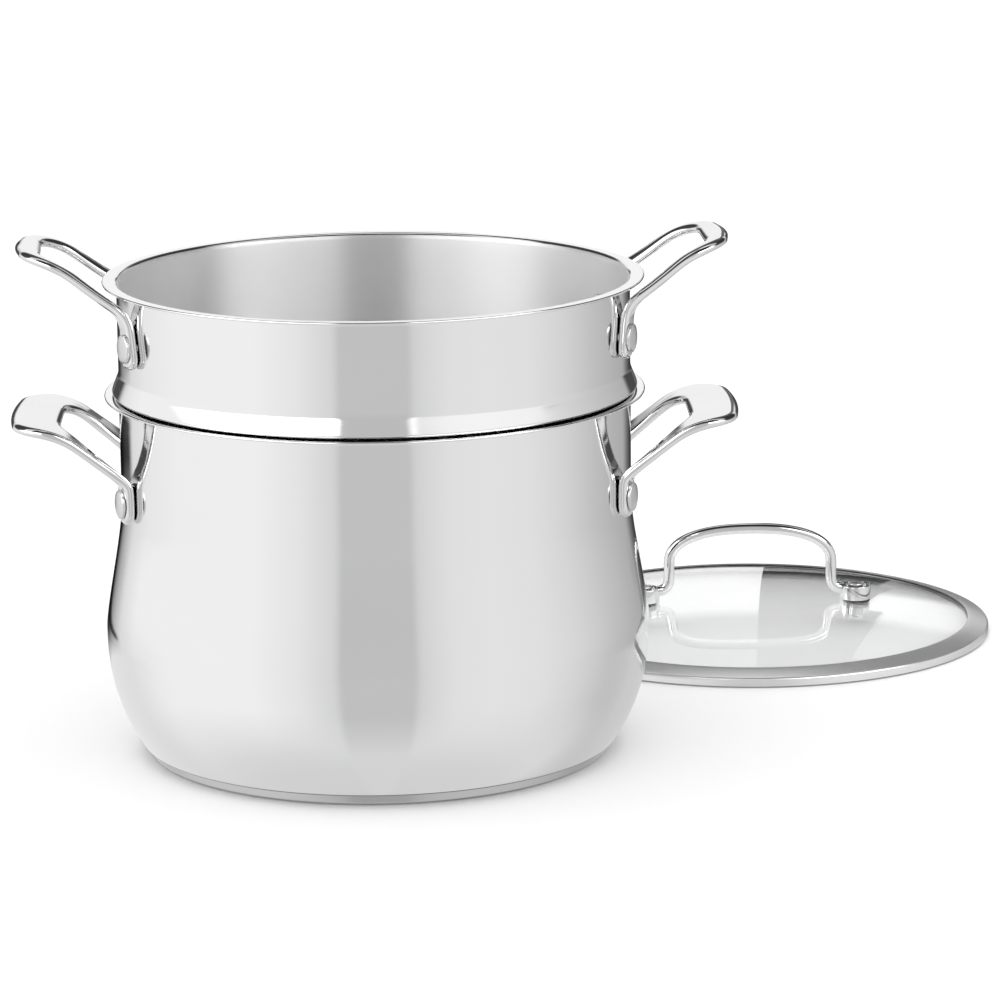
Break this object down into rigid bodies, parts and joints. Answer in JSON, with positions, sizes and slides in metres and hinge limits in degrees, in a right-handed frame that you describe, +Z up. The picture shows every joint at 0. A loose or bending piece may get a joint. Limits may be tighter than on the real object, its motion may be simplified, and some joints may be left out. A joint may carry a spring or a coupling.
{
  "type": "pasta pot",
  "caption": "Polished steel pasta pot with a bellied body, a lift-out straining insert in its mouth, riveted loop handles, and a domed glass lid with a bent-rod handle lying beside it.",
  "frame": {"origin": "middle of the pot's base, on the surface that the pot stands on", "axes": "+Z up along the pot's axis, +X through the middle of the right pot handle, +Y away from the viewer; the lid lies at +X +Y"},
  "size_m": [0.4514, 0.4304, 0.2265],
  "materials": {
    "polished_steel": "mirror-polished outside, fine brushed inside",
    "cast_steel": "mirror-polished casting",
    "satin_steel": "satin",
    "aluminium": "plain, sealed in the base",
    "clear_glass": "clear tempered",
    "silicone": "matt dark",
    "pale_silicone": "matt, milky"
  },
  "bodies": {
    "pot": {"pot_shell": "polished_steel", "base_core": "aluminium", "base_cap": "polished_steel", "pot_handle_left": "cast_steel", "pot_handle_right": "cast_steel", "pot_rivet_left_front": "satin_steel", "pot_rivet_left_back": "satin_steel", "pot_rivet_right_front": "satin_steel", "pot_rivet_right_back": "satin_steel"},
    "insert": {"insert_shell": "polished_steel", "insert_handle_left": "cast_steel", "insert_handle_right": "cast_steel", "insert_rivet_left_front": "satin_steel", "insert_rivet_left_back": "satin_steel", "insert_rivet_right_front": "satin_steel", "insert_rivet_right_back": "satin_steel"},
    "lid": {"lid_glass": "clear_glass", "lid_band": "polished_steel", "lid_handle": "cast_steel", "lid_screw_left": "satin_steel", "lid_screw_right": "satin_steel", "lid_nut_left": "satin_steel", "lid_nut_right": "satin_steel", "lid_pad_left": "silicone", "lid_pad_right": "silicone", "lid_lower_pad_left": "pale_silicone", "lid_lower_pad_right": "pale_silicone"}
  },
  "joints": [
    {"name": "insert_lift", "type": "slide", "parent": "pot", "child": "insert", "axis": [0, 0, 1], "range_m": [0, 0.2]},
    {"name": "lid_lift", "type": "slide", "parent": "pot", "child": "lid", "axis": [0, 0, 1], "range_m": [0, 0.3]}
  ]
}
